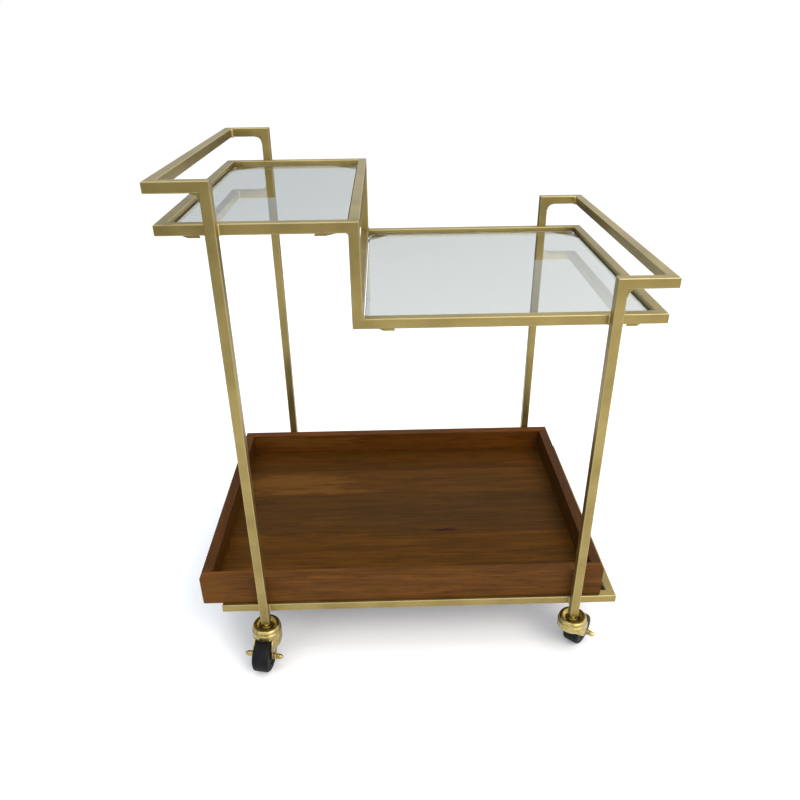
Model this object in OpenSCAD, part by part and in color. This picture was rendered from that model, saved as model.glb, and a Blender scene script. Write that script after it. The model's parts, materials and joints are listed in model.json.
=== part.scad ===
// Stepped bar cart: a welded frame of square tube with two glass shelves at different
// heights, a loose wooden tray on a base frame, and four hooded swivel casters.
// Millimetres. +X points to the low handle, -Y to the front and +Z up. The floor is z = 0,
// and the origin is under the middle of the cart's outline, with the tray's overhang counted.

/* [Tube frame] */
// Outside width of the square tube
tube = 16; // [15:0.5:17]
// Wall thickness of the square tube
tube_wall = 1.2; // [1:0.1:1.6]
// Length over the two handle bars
handle_span = 740; // [738:1:800]
// Length over the end rails of the shelves
shelf_span = 738; // [700:1:738]
// Length over the end rails of the base frame
base_span = 734; // [700:1:738]
// Distance between the left and right leg centres
leg_spacing = 576; // [560:1:600]
// Distance between the front and back leg centres
leg_depth = 544; // [536:1:552]
// Height of the leg ends above the floor
leg_end_z = 86.5; // [86.5:0.5:92]
// How far the legs reach below the base frame
leg_drop = 18; // [14:1:24]

/* [Shelves] */
// Height of the lower shelf's rail tops above the floor
lower_shelf_z = 681.5; // [600:0.5:700]
// Step from the lower shelf up to the upper one
shelf_step = 143.5; // [100:0.5:180]
// Length of the upper shelf, measured over its rails
upper_length = 283; // [240:1:340]
// Height of each handle above its own shelf
handle_rise = 60.5; // [45:0.5:80]
// Thickness of the glass panes
glass_t = 5; // [4:0.5:6]
// Depth of the glass surface below the rail tops
glass_recess = 8.2; // [7:0.1:9]
// Gap between a pane's edge and the rails round it
glass_gap = 2; // [1:0.5:3]

/* [Corner braces] */
// Width of the flat bar across each frame corner
brace_w = 12; // [10:1:14]
// Thickness of the flat bar
brace_t = 3; // [2:0.5:4]
// Distance from a frame's outer corner to where the bar's edge meets the rail
brace_reach = 46; // [44:1:56]
// Diameter of the clear pad between a brace and the glass
pad_d = 10; // [7:1:10]

/* [Tray] */
// Outside length of the tray
tray_length = 740; // [700:5:740]
// Outside width of the tray
tray_width = 516; // [504:2:516]
// Height of the tray walls
tray_height = 60; // [45:1:80]
// Thickness of the tray walls
tray_wall = 20; // [14:1:22]
// Thickness of the tray floor boards
tray_floor = 12; // [8:1:16]
// How far the tray stands out past the high handle
tray_overhang = 32; // [0:1:40]

/* [Casters] */
// Wheel diameter
wheel_d = 60; // [56:1:60]
// Wheel width
wheel_w = 30.5; // [27:0.5:31]
// Distance from the swivel axis to the axle
caster_trail = 28; // [26:1:29]
// Outside diameter of the hood's lower rim
hood_d = 54; // [53:1:55]
// Swivel angle of the front left caster, and of its mirror image behind it
left_swivel = -10; // [-20:1:10]
// Swivel angle of the front right caster, and of its mirror image behind it
right_swivel = 139; // [120:1:160]

/* [Hidden] */
$fn = 64;

spare = 1; // how far a cutting tool overshoots what it cuts
LEFT = -1;
RIGHT = 1;
FRONT = -1;
BACK = 1;

// Heights of the frame
base_top_z = leg_end_z + leg_drop + tube;
upper_shelf_z = lower_shelf_z + shelf_step;
function handle_top(end) = handle_rise + (end == LEFT ? upper_shelf_z : lower_shelf_z);

// Places in plan. The rails stand just inside the legs, and the frame's own middle is
// shifted to the right of the origin by half of the tray's overhang.
frame_x = tray_overhang / 2;
rail_depth = leg_depth - 2 * tube;   // between the centres of the front and back rails
rail_gap = rail_depth - tube;        // clear distance between those rails
shelf_left = frame_x - shelf_span / 2;
shelf_right = frame_x + shelf_span / 2;
step_x = shelf_left + upper_length;  // right face of the upper shelf and its posts
function leg_x(end) = frame_x + end * leg_spacing / 2;
function leg_y(side) = side * leg_depth / 2;
function rail_y(side) = side * rail_depth / 2;

// Which side of a tube is the long one at a mitred end: a turn about the tube's own length
LONG_UP = 0;
LONG_FRONT = 90;
LONG_DOWN = 180;
LONG_BACK = 270;
SQUARE = -1;

// ---- Square tube ----

// The wedge that a mitre takes off the start of a tube whose upper side is the long one
module mitre_wedge() {
    reach = tube / 2 + spare;
    rotate([90, 0, 0])
        linear_extrude(tube + 2 * spare, center = true)
            polygon([[-spare, reach], [tube + spare, -reach], [-spare, -reach]]);
}

// Square tube along +X from the origin, centred on its axis, with each end mitred or square
module square_tube(length, start = SQUARE, finish = SQUARE) {
    bore = tube - 2 * tube_wall;
    difference() {
        translate([0, -tube / 2, -tube / 2]) cube([length, tube, tube]);
        translate([-spare, -bore / 2, -bore / 2]) cube([length + 2 * spare, bore, bore]);
        if (start != SQUARE)
            rotate([start, 0, 0]) mitre_wedge();
        if (finish != SQUARE)
            translate([length, 0, 0]) rotate([finish, 0, 0]) mirror([1, 0, 0]) mitre_wedge();
    }
}

// A leg, mitred at the top against its handle arm. Stood upright, a tube's lower side
// faces right and its upper side faces left.
module leg(end, side) {
    translate([leg_x(end), leg_y(side), leg_end_z])
        rotate([0, -90, 0])
            square_tube(handle_top(end) - leg_end_z,
                        finish = end == LEFT ? LONG_DOWN : LONG_UP);
}

// A level arm from the top of a leg out to the handle bar
module handle_arm(end, side) {
    reach = (handle_span - leg_spacing + tube) / 2;
    outer = side == FRONT ? LONG_FRONT : LONG_BACK;
    translate([frame_x + (end == LEFT ? -handle_span / 2 : handle_span / 2 - reach),
               leg_y(side), handle_top(end) - tube / 2])
        square_tube(reach,
                    start = end == LEFT ? outer : LONG_UP,
                    finish = end == LEFT ? LONG_UP : outer);
}

// A tube along +Y, mitred at both ends with its outer side long, or cut square.
// Laid along Y, a tube's back side faces left and its front side faces right.
module cross_tube(length, end, mitred = true) {
    cut = !mitred ? SQUARE : end == LEFT ? LONG_BACK : LONG_FRONT;
    translate([0, -length / 2, 0]) rotate([0, 0, 90]) square_tube(length, cut, cut);
}

module handle_bar(end) {
    translate([frame_x + end * (handle_span - tube) / 2, 0, handle_top(end) - tube / 2])
        cross_tube(leg_depth + tube, end);
}

module end_rail(x, top_z, end) {
    translate([x - end * tube / 2, 0, top_z - tube / 2])
        cross_tube(rail_depth + tube, end);
}

module step_rail(top_z) {
    translate([step_x - tube / 2, 0, top_z - tube / 2])
        cross_tube(rail_gap, RIGHT, mitred = false);
}

// The upper rail meets the end rail in a flat mitre and the step post in an upright one
module upper_rail(side) {
    translate([shelf_left, rail_y(side), upper_shelf_z - tube / 2])
        square_tube(upper_length, side == FRONT ? LONG_FRONT : LONG_BACK, LONG_UP);
}

module step_post(side) {
    translate([step_x - tube / 2, rail_y(side), lower_shelf_z - tube])
        rotate([0, -90, 0])
            square_tube(shelf_step + tube, LONG_UP, LONG_DOWN);
}

module lower_rail(side) {
    start_x = step_x - tube;
    translate([start_x, rail_y(side), lower_shelf_z - tube / 2])
        square_tube(shelf_right - start_x, LONG_DOWN, side == FRONT ? LONG_FRONT : LONG_BACK);
}

module base_rail(side) {
    long_side = side == FRONT ? LONG_FRONT : LONG_BACK;
    translate([frame_x - base_span / 2, rail_y(side), base_top_z - tube / 2])
        square_tube(base_span, long_side, long_side);
}

// ---- Corner braces, glass and pads ----

// Moves its children to each corner of a frame, with +X and +Y pointing into the frame
module at_frame_corners(left, right, z) {
    half_y = (rail_depth + tube) / 2;
    for (end = [LEFT, RIGHT], side = [FRONT, BACK])
        translate([end == LEFT ? left : right, side * half_y, z])
            mirror([end == RIGHT ? 1 : 0, 0, 0])
                mirror([0, side == BACK ? 1 : 0, 0])
                    children();
}

// A flat bar laid across a corner at 45 degrees, its ends trimmed flush with the rails
module corner_brace() {
    far = brace_reach + brace_w * sqrt(2);
    translate([0, 0, -brace_t])
        linear_extrude(brace_t)
            polygon([[brace_reach, 0], [far, 0], [0, far], [0, brace_reach]]);
}

module braces(left, right, top_z) {
    at_frame_corners(left, right, top_z - tube) corner_brace();
}

// The base frame's braces lie between its rails, flush with the rails' undersides
module base_frame_braces() {
    inside = brace_reach + brace_w * sqrt(2) - tube;
    at_frame_corners(frame_x - base_span / 2, frame_x + base_span / 2,
                     base_top_z - tube + brace_t)
        intersection() {
            corner_brace();
            translate([tube, tube, -brace_t]) cube([inside, inside, brace_t]);
        }
}

// A round pad on the middle of a brace, as tall as the space under the glass
module corner_pad() {
    middle = brace_reach / 2 + brace_w * sqrt(2) / 4;
    translate([middle, middle, 0]) cylinder(d = pad_d, h = tube - glass_recess - glass_t);
}

module pane(left, right, top_z) {
    inset = tube + glass_gap;
    width = rail_gap - 2 * glass_gap;
    translate([left + inset, -width / 2, top_z - glass_recess - glass_t])
        cube([right - left - 2 * inset, width, glass_t]);
}

// ---- Tray ----

tray_x = frame_x - handle_span / 2 - tray_overhang + tray_length / 2;
tray_gap = 0.4;                               // the tray's play above the base frame
tray_z = base_top_z + tray_gap;
board_shares = [0.33, 0.29, 0.2, 0.18];       // widths of the boards, front to back

module tray_long_wall(side) {
    translate([tray_x - tray_length / 2, side * (tray_width - tray_wall) / 2 - tray_wall / 2,
               tray_z])
        cube([tray_length, tray_wall, tray_height]);
}

module tray_short_wall(end) {
    inside = tray_width - 2 * tray_wall;
    translate([tray_x + end * (tray_length - tray_wall) / 2 - tray_wall / 2, -inside / 2, tray_z])
        cube([tray_wall, inside, tray_height]);
}

// Sum of the first n shares
function shares_before(n) = n == 0 ? 0 : board_shares[n - 1] + shares_before(n - 1);

module tray_board(n) {
    inside = tray_width - 2 * tray_wall;
    translate([tray_x - tray_length / 2 + tray_wall,
               inside * (shares_before(n) - 0.5), tray_z])
        cube([tray_length - 2 * tray_wall, inside * board_shares[n], tray_floor]);
}

// ---- Casters ----
// A caster is drawn with its swivel axis on Z, its axle along X and its wheel trailing
// towards -Y, and is then turned to its swivel angle.

stem_d = 8;
stem_rise = 20;         // how far the stem goes up into the leg
swivel_play = 0.08;     // radial clearance of the swivel and the wheel bearings
crown_top = 74.5;       // floor of the hood's dished top
crown_t = 3;            // thickness of the crown around the stem
rim_z = 61;             // lower edge of the hood
ball_d = 2.8;
ball_count = 12;
ball_ring_d = 13.4;
ball_play = 0.1;        // gap above and below the balls
collar_d = 17;          // thrust collar that rides on the balls
collar_t = 2;
rivet_d = 14;           // peened head that keeps the fork on the stem
rivet_t = 3.2;
rivet_gap = 0.3;

axle_z = wheel_d / 2;
axle_d = 6;
bush_d = 12;
wheel_side_gap = 0.7;   // between the wheel and each fork arm
arm_t = 2.7;
arm_inner = wheel_w / 2 + wheel_side_gap;
arm_outer = arm_inner + arm_t;
boss_r = 6.5;           // round end of a fork arm
nut_flats = 11;
nut_hex_h = 5.5;

function swivel(end) = end == LEFT ? left_swivel : right_swivel;

// Places a caster drawn at the origin. The back casters mirror the front ones.
module at_caster(end, side) {
    translate([leg_x(end), leg_y(side), 0])
        mirror([0, side == BACK ? 1 : 0, 0])
            rotate([0, 0, swivel(end)])
                children();
}

// Points on an arc about [r, z], from one angle to another
function arc(r, z, radius, from, to, steps = 8) =
    [for (i = [0:steps]) let (a = from + (to - from) * i / steps)
        [r + radius * cos(a), z + radius * sin(a)]];

// The hood: a cup open below, with a dished crown, a broad rolled crest, a groove under
// the crest and a straight skirt with a bead at its upper edge
module hood() {
    rim_r = hood_d / 2;
    crest_r = 21.2;
    crest_z = 77.3;
    crest_round = 4.4;
    bead_z = 72;
    bead_round = 1.4;
    rotate_extrude()
        polygon(concat(
            [[0, crown_top], [12.5, crown_top], [14.5, crown_top + 0.5], [15.8, crown_top + 1.8]],
            arc(crest_r, crest_z, crest_round, 165, -15, 10),
            [[rim_r - 1.6, 75], [rim_r - 1.9, 74.3], [rim_r - 1.6, 73.6]],
            arc(rim_r - bead_round, bead_z, bead_round, 80, 0, 4),
            [[rim_r, rim_z + 0.8], [rim_r - 0.8, rim_z], [rim_r - 2.2, rim_z],
             [rim_r - 2.4, 70], [rim_r - 3.6, 74], [crest_r + 1.4, 77.6], [crest_r, 79.2],
             [crest_r - 1.8, 78.2], [crest_r - 4, 73.4],
             [15.8, crown_top - crown_t], [0, crown_top - crown_t]]));
}

// Where the tangent from an outside point touches the boss, on one side or the other
function boss_tangent(point, side) =
    let (d = [point[0] - caster_trail, point[1] - axle_z],
         a = atan2(d[1], d[0]) + side * acos(boss_r / norm(d)))
    [caster_trail + boss_r * cos(a), axle_z + boss_r * sin(a)];

// Side outline of a fork arm: wide under the hood and narrowing to a boss round the axle.
// Its first coordinate grows in the direction that the wheel trails.
module arm_outline() {
    lead = [-18, 60];
    trail = [33, 49];
    polygon([[-18, 64], lead, boss_tangent(lead, 1), [caster_trail, axle_z],
             boss_tangent(trail, -1), trail, [26, 58], [18, 64]]);
    translate([caster_trail, axle_z]) circle(r = boss_r);
}

// Fills the arm outline between two distances from the wheel's middle plane
module arm_slab(from, to) {
    translate([to, 0, 0]) rotate([90, 0, -90]) linear_extrude(to - from) arm_outline();
}

// The round shape that swells the arms outwards under the hood
module cheek_swell() {
    rotate_extrude()
        polygon([[0, 64], [hood_d / 2 - 0.6, 64], [hood_d / 2 - 0.1, rim_z],
                 [hood_d / 2 - 0.1, 52], [26.3, 44], [25.3, 40], [23.7, 36], [21.3, 32.3],
                 [18, 29], [0, 27]]);
}

module fork_arm() {
    tab_half = 13;
    tab_top = crown_top - 0.5;
    arm_slab(arm_inner, arm_outer);
    translate([arm_inner, -tab_half, 63]) cube([arm_t, 2 * tab_half, tab_top - 63]);
    intersection() {
        arm_slab(arm_inner, hood_d / 2);
        cheek_swell();
    }
}

module fork_shape() {
    difference() {
        union() {
            hood();
            fork_arm();
            mirror([1, 0, 0]) fork_arm();
        }
        cylinder(d = stem_d + 2 * swivel_play, h = leg_end_z);
        translate([0, -caster_trail, axle_z]) rotate([0, 90, 0])
            cylinder(d = axle_d, h = 3 * arm_outer, center = true);
    }
}

module along_axle() {
    translate([0, -caster_trail, axle_z]) rotate([0, 90, 0]) children();
}

module axle_shape() {
    along_axle() cylinder(d = axle_d, h = 2 * (arm_outer + nut_hex_h), center = true);
}

// A hexagon nut closed by a tall domed cap
module acorn_nut() {
    corner_d = nut_flats / cos(30);
    difference() {
        union() {
            cylinder(d = corner_d, h = nut_hex_h, $fn = 6);
            translate([0, 0, nut_hex_h])
                rotate_extrude()
                    polygon([[0, 0], [4.2, 0], [4.8, 1.2], [5, 3.6], [4.8, 6.2], [4.2, 8.6],
                             [3.1, 10.6], [1.7, 11.8], [0, 12.2]]);
        }
        translate([0, 0, -spare]) cylinder(d = axle_d, h = nut_hex_h + spare);
    }
}

module nuts_shape() {
    along_axle() for (turn = [0, 180])
        rotate([turn, 0, 0]) translate([0, 0, arm_outer]) acorn_nut();
}

// The wheel: a solid disc with round shoulders and a shallow recess in each side
module wheel_shape() {
    tyre_r = wheel_d / 2;
    half = wheel_w / 2;
    shoulder = 5;
    dish = 1.6;
    dish_r = 17;
    hub_r = 9;
    right_half = concat(
        [[bush_d / 2, half], [hub_r, half], [hub_r + 1, half - dish],
         [dish_r - 1, half - dish], [dish_r, half]],
        arc(tyre_r - shoulder, half - shoulder, shoulder, 90, 0, 6));
    last = len(right_half) - 1;
    along_axle() rotate_extrude($fn = 96)
        polygon(concat(right_half,
                       [for (i = [last:-1:0]) [right_half[i][0], -right_half[i][1]]]));
}

module bush_shape() {
    end_gap = 0.3;
    length = 2 * (arm_inner - end_gap);
    along_axle() difference() {
        cylinder(d = bush_d, h = length, center = true);
        cylinder(d = axle_d + 2 * swivel_play, h = length + spare, center = true);
    }
}

// Moves its children to the foot of every leg
module at_legs() {
    for (end = [LEFT, RIGHT], side = [FRONT, BACK])
        translate([leg_x(end), leg_y(side), 0]) children();
}

collar_z = crown_top + ball_d + 2 * ball_play;

module stem_shape() {
    rivet_top = crown_top - crown_t - rivet_gap;
    translate([0, 0, rivet_top - rivet_t])
        cylinder(d = stem_d, h = leg_end_z + stem_rise - rivet_top + rivet_t);
    translate([0, 0, rivet_top - rivet_t]) cylinder(d = rivet_d, h = rivet_t);
    translate([0, 0, collar_z]) cylinder(d = collar_d, h = collar_t);
}

module insert_shape() {
    side = tube - 2 * tube_wall;
    translate([0, 0, leg_end_z]) difference() {
        translate([-side / 2, -side / 2, 0]) cube([side, side, stem_rise + 4]);
        translate([0, 0, -spare]) cylinder(d = stem_d, h = stem_rise + spare);
    }
}

// ---- Nodes ----

brass_paint = [0.68, 0.57, 0.33];
brass_shine = [0.78, 0.65, 0.3];
walnut = [0.36, 0.2, 0.1];
walnut_dark = [0.3, 0.17, 0.08];
clear = [0.8, 0.88, 0.86, 0.4];
black_rubber = [0.06, 0.06, 0.07];
bare_steel = [0.6, 0.6, 0.62];

module leg_front_left() color(brass_paint) leg(LEFT, FRONT);
module leg_front_right() color(brass_paint) leg(RIGHT, FRONT);
module leg_back_left() color(brass_paint) leg(LEFT, BACK);
module leg_back_right() color(brass_paint) leg(RIGHT, BACK);
module handle_arm_front_left() color(brass_paint) handle_arm(LEFT, FRONT);
module handle_arm_back_left() color(brass_paint) handle_arm(LEFT, BACK);
module handle_arm_front_right() color(brass_paint) handle_arm(RIGHT, FRONT);
module handle_arm_back_right() color(brass_paint) handle_arm(RIGHT, BACK);
module handle_bar_left() color(brass_paint) handle_bar(LEFT);
module handle_bar_right() color(brass_paint) handle_bar(RIGHT);
module upper_rail_front() color(brass_paint) upper_rail(FRONT);
module upper_rail_back() color(brass_paint) upper_rail(BACK);
module upper_rail_left() color(brass_paint) end_rail(shelf_left, upper_shelf_z, LEFT);
module upper_rail_right() color(brass_paint) step_rail(upper_shelf_z);
module step_post_front() color(brass_paint) step_post(FRONT);
module step_post_back() color(brass_paint) step_post(BACK);
module lower_rail_front() color(brass_paint) lower_rail(FRONT);
module lower_rail_back() color(brass_paint) lower_rail(BACK);
module lower_rail_left() color(brass_paint) step_rail(lower_shelf_z);
module lower_rail_right() color(brass_paint) end_rail(shelf_right, lower_shelf_z, RIGHT);
module base_rail_front() color(brass_paint) base_rail(FRONT);
module base_rail_back() color(brass_paint) base_rail(BACK);
module base_rail_left() color(brass_paint) end_rail(frame_x - base_span / 2, base_top_z, LEFT);
module base_rail_right() color(brass_paint) end_rail(frame_x + base_span / 2, base_top_z, RIGHT);
module upper_braces() color(brass_paint) braces(shelf_left, step_x, upper_shelf_z);
module lower_braces() color(brass_paint) braces(step_x - tube, shelf_right, lower_shelf_z);
module base_braces() color(brass_paint) base_frame_braces();
module upper_glass() color(clear) pane(shelf_left, step_x, upper_shelf_z);
module lower_glass() color(clear) pane(step_x - tube, shelf_right, lower_shelf_z);
module glass_pads() color(clear) {
    at_frame_corners(shelf_left, step_x, upper_shelf_z - tube) corner_pad();
    at_frame_corners(step_x - tube, shelf_right, lower_shelf_z - tube) corner_pad();
}
module leg_inserts() color(black_rubber) at_legs() insert_shape();
module caster_stems() color(brass_shine) at_legs() stem_shape();
module swivel_balls() color(bare_steel) at_legs()
    for (i = [0:ball_count - 1])
        rotate([0, 0, i * 360 / ball_count])
            translate([ball_ring_d / 2, 0, crown_top + ball_play + ball_d / 2])
                sphere(d = ball_d);
module tray_wall_front() color(walnut) tray_long_wall(FRONT);
module tray_wall_back() color(walnut) tray_long_wall(BACK);
module tray_wall_left() color(walnut) tray_short_wall(LEFT);
module tray_wall_right() color(walnut) tray_short_wall(RIGHT);
module tray_boards() color(walnut_dark) for (n = [0:len(board_shares) - 1]) tray_board(n);

module fork(end, side) color(brass_shine) at_caster(end, side) fork_shape();
module axle(end, side) color(bare_steel) at_caster(end, side) axle_shape();
module axle_nuts(end, side) color(brass_shine) at_caster(end, side) nuts_shape();
module wheel(end, side) color(black_rubber) at_caster(end, side) wheel_shape();
module wheel_bush(end, side) color(bare_steel) at_caster(end, side) bush_shape();

leg_front_left();
leg_front_right();
leg_back_left();
leg_back_right();
handle_arm_front_left();
handle_arm_back_left();
handle_arm_front_right();
handle_arm_back_right();
handle_bar_left();
handle_bar_right();
upper_rail_front();
upper_rail_back();
upper_rail_left();
upper_rail_right();
step_post_front();
step_post_back();
lower_rail_front();
lower_rail_back();
lower_rail_left();
lower_rail_right();
base_rail_front();
base_rail_back();
base_rail_left();
base_rail_right();
upper_braces();
lower_braces();
base_braces();
upper_glass();
lower_glass();
glass_pads();
leg_inserts();
caster_stems();
swivel_balls();
tray_wall_front();
tray_wall_back();
tray_wall_left();
tray_wall_right();
tray_boards();
fork(LEFT, FRONT);  // fork_front_left
axle(LEFT, FRONT);  // axle_front_left
axle_nuts(LEFT, FRONT);  // axle_nuts_front_left
wheel(LEFT, FRONT);  // wheel_front_left
wheel_bush(LEFT, FRONT);  // wheel_bush_front_left
fork(RIGHT, FRONT);  // fork_front_right
axle(RIGHT, FRONT);  // axle_front_right
axle_nuts(RIGHT, FRONT);  // axle_nuts_front_right
wheel(RIGHT, FRONT);  // wheel_front_right
wheel_bush(RIGHT, FRONT);  // wheel_bush_front_right
fork(LEFT, BACK);  // fork_back_left
axle(LEFT, BACK);  // axle_back_left
axle_nuts(LEFT, BACK);  // axle_nuts_back_left
wheel(LEFT, BACK);  // wheel_back_left
wheel_bush(LEFT, BACK);  // wheel_bush_back_left
fork(RIGHT, BACK);  // fork_back_right
axle(RIGHT, BACK);  // axle_back_right
axle_nuts(RIGHT, BACK);  // axle_nuts_back_right
wheel(RIGHT, BACK);  // wheel_back_right
wheel_bush(RIGHT, BACK);  // wheel_bush_back_right
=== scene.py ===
# %% [markdown]
# # A stepped bar cart in satin brass
# The cart is a welded frame of square steel tube with two glass shelves at different
# heights, a loose wooden tray on a base frame, and four hooded swivel casters. Its sizes and
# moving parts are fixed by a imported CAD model. This lesson loads that model as a frame and
# dresses it: each visible part is modelled again at the same place with the soft edges, welds
# and grain of the real one, and rides on the body that carries it.

# %% Load the frame
import json
from math import atan2, cos, pi, radians, sin, sqrt

import bmesh
import bpy
from mathutils import Matrix, Vector


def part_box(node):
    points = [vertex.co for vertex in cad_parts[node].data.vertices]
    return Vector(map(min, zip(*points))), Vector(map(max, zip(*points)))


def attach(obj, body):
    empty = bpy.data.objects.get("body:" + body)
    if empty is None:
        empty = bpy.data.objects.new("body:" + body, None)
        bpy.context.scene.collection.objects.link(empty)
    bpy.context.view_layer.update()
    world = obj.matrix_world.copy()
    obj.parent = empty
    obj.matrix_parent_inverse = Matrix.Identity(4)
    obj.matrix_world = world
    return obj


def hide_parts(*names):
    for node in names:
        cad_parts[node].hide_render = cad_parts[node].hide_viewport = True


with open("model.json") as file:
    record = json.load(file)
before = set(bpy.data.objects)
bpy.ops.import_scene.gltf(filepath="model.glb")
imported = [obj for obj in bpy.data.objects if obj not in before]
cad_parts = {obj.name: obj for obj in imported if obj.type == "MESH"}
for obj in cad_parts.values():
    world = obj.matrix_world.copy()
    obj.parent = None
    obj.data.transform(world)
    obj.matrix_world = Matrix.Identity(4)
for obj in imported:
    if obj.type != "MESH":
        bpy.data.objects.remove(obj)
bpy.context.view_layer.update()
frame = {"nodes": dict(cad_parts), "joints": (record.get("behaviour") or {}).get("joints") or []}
MM = 0.001
JOINTS = {joint["name"]: joint for joint in frame["joints"]}
print("CAD nodes:", len(frame["nodes"]))

# %% [markdown]
# ## The camera
# The cart is seen from a little above the handles and slightly left of its middle, with a
# short lens close by, so the legs lean together towards the floor. The camera is placed
# first, because every later choice of detail depends on how large a part is in the view.

# %% Place the camera
CAMERA_PLACE = Vector((-0.035, -1.216, 1.0586))
LOOK_RIGHT = radians(1.09)
LOOK_DOWN = radians(28.32)
LEAN = radians(-0.68)
LENS = 31.05

turn = (Matrix.Rotation(-LOOK_RIGHT, 4, "Z")
        @ Matrix.Rotation(radians(90) - LOOK_DOWN, 4, "X")
        @ Matrix.Rotation(LEAN, 4, "Z"))
camera_data = bpy.data.cameras.new("camera")
camera_data.lens = LENS
camera_data.sensor_width = 36
camera = bpy.data.objects.new("camera", camera_data)
camera.matrix_world = Matrix.Translation(CAMERA_PLACE) @ turn
bpy.context.scene.collection.objects.link(camera)
bpy.context.scene.camera = camera
print("camera at", tuple(round(v, 3) for v in CAMERA_PLACE))

# %% [markdown]
# ## Small helpers for modelling by hand
# Blender's operators act on whatever is selected, so each step starts by selecting nothing.
# A piece begins as a primitive at its real size and place. In edit mode, faces and edges are
# picked by where they are or which way they point, and the operator then works on those.


# %% Selecting and starting pieces
def select_only(*pieces):
    """Leaves edit mode and selects just these objects, the first one active."""
    if bpy.context.object and bpy.context.object.mode != "OBJECT":
        bpy.ops.object.mode_set(mode="OBJECT")
    bpy.ops.object.select_all(action="DESELECT")
    for piece in pieces:
        piece.select_set(True)
    bpy.context.view_layer.objects.active = pieces[0] if pieces else None


def edit(piece):
    """Opens a piece in edit mode with all of it selected."""
    select_only(piece)
    bpy.ops.object.mode_set(mode="EDIT")
    bpy.ops.mesh.select_all(action="SELECT")


def pick(kind, test):
    """In edit mode, selects just the VERTs, EDGEs or FACEs that pass the test."""
    bpy.ops.mesh.select_mode(type=kind)
    bpy.ops.mesh.select_all(action="DESELECT")
    mesh = bmesh.from_edit_mesh(bpy.context.edit_object.data)
    items = {"VERT": mesh.verts, "EDGE": mesh.edges, "FACE": mesh.faces}[kind]
    for item in items:
        if test(item):
            item.select_set(True)
    mesh.select_flush_mode()
    bmesh.update_edit_mesh(bpy.context.edit_object.data)


def settle():
    """Puts the active object's place, turn and scale into its mesh."""
    bpy.ops.object.transform_apply(location=True, rotation=True, scale=True)


def named(name):
    """Names the active object and its mesh."""
    piece = bpy.context.object
    piece.name = name
    piece.data.name = name
    return piece


def start_box(name, low, high):
    """A box between two corners."""
    select_only()
    bpy.ops.mesh.primitive_cube_add(size=1, location=(low + high) / 2)
    bpy.context.object.scale = high - low
    settle()
    return named(name)


def apply_modifier(piece, kind, **settings):
    """Adds a modifier with its settings and applies it."""
    select_only(piece)
    bpy.ops.object.modifier_add(type=kind)
    modifier = piece.modifiers[-1]
    for key, value in settings.items():
        setattr(modifier, key, value)
    bpy.ops.object.modifier_apply(modifier=modifier.name)


def direction(edge):
    """The unit direction of an edit-mode edge."""
    return (edge.verts[1].co - edge.verts[0].co).normalized()


print("helpers ready")

# %% [markdown]
# ## Colours and nodes
# Colours are written as sRGB hex values, as a paint chart gives them, and turned to the
# linear values that Blender's shaders use. One function adds any node, sets its options and
# links its inputs, so a material reads as a short recipe.


# %% Colour and node helpers
def linear(hex_colour):
    """An sRGB hex colour as linear red, green, blue and alpha."""
    parts = [int(hex_colour[i:i + 2], 16) / 255 for i in (1, 3, 5)]
    return [p / 12.92 if p <= 0.04045 else ((p + 0.055) / 1.055) ** 2.4 for p in parts] + [1]


def add_node(tree, kind, inputs=None, **options):
    """Adds a node. An input given a socket is linked to it, and any other is set."""
    node = tree.nodes.new(kind)
    for key, value in options.items():
        setattr(node, key, value)
    for key, value in (inputs or {}).items():
        if isinstance(value, bpy.types.NodeSocket):
            tree.links.new(value, node.inputs[key])
        else:
            node.inputs[key].default_value = value
    return node


def ramp(tree, factor, stops):
    """A colour ramp through (position, hex colour) stops."""
    node = add_node(tree, "ShaderNodeValToRGB", {"Fac": factor})
    first, last = node.color_ramp.elements[0], node.color_ramp.elements[-1]
    first.position, first.color = stops[0][0], linear(stops[0][1])
    last.position, last.color = stops[-1][0], linear(stops[-1][1])
    for position, colour in stops[1:-1]:
        node.color_ramp.elements.new(position).color = linear(colour)
    return node.outputs["Color"]


def new_material(name):
    """An empty node material, with its tree and output node."""
    material = bpy.data.materials.new(name)
    material.use_nodes = True
    material.node_tree.nodes.clear()
    output = add_node(material.node_tree, "ShaderNodeOutputMaterial")
    return material, material.node_tree, output


def object_place(tree, per_metre, turned=(0, 0, 0)):
    """Object coordinates scaled so that a pattern repeats about per_metre times a metre."""
    place = add_node(tree, "ShaderNodeTexCoord").outputs["Object"]
    return add_node(tree, "ShaderNodeMapping",
                    {"Vector": place, "Rotation": turned, "Scale": per_metre}).outputs["Vector"]


def noise(tree, per_metre, detail=3.0, distortion=0.0, turned=(0, 0, 0)):
    """Noise with its own count of features per metre along X, Y and Z."""
    return add_node(tree, "ShaderNodeTexNoise",
                    {"Vector": object_place(tree, per_metre, turned), "Scale": 1.0,
                     "Detail": detail, "Distortion": distortion}).outputs["Fac"]


def remap(tree, value, low, high):
    """A 0 to 1 value spread between low and high."""
    return add_node(tree, "ShaderNodeMapRange",
                    {"Value": value, "To Min": low, "To Max": high}).outputs["Result"]


def mixed(tree, factor, one, other, blend="MIX"):
    """Two colours mixed by a factor."""
    node = add_node(tree, "ShaderNodeMix", data_type="RGBA", blend_type=blend)
    for socket, value in ((node.inputs[0], factor), (node.inputs[6], one), (node.inputs[7], other)):
        if isinstance(value, bpy.types.NodeSocket):
            tree.links.new(value, socket)
        else:
            socket.default_value = value
    return node.outputs[2]


print("brass paint is", [round(v, 3) for v in linear("#93824A")[:3]], "in linear light")

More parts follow.
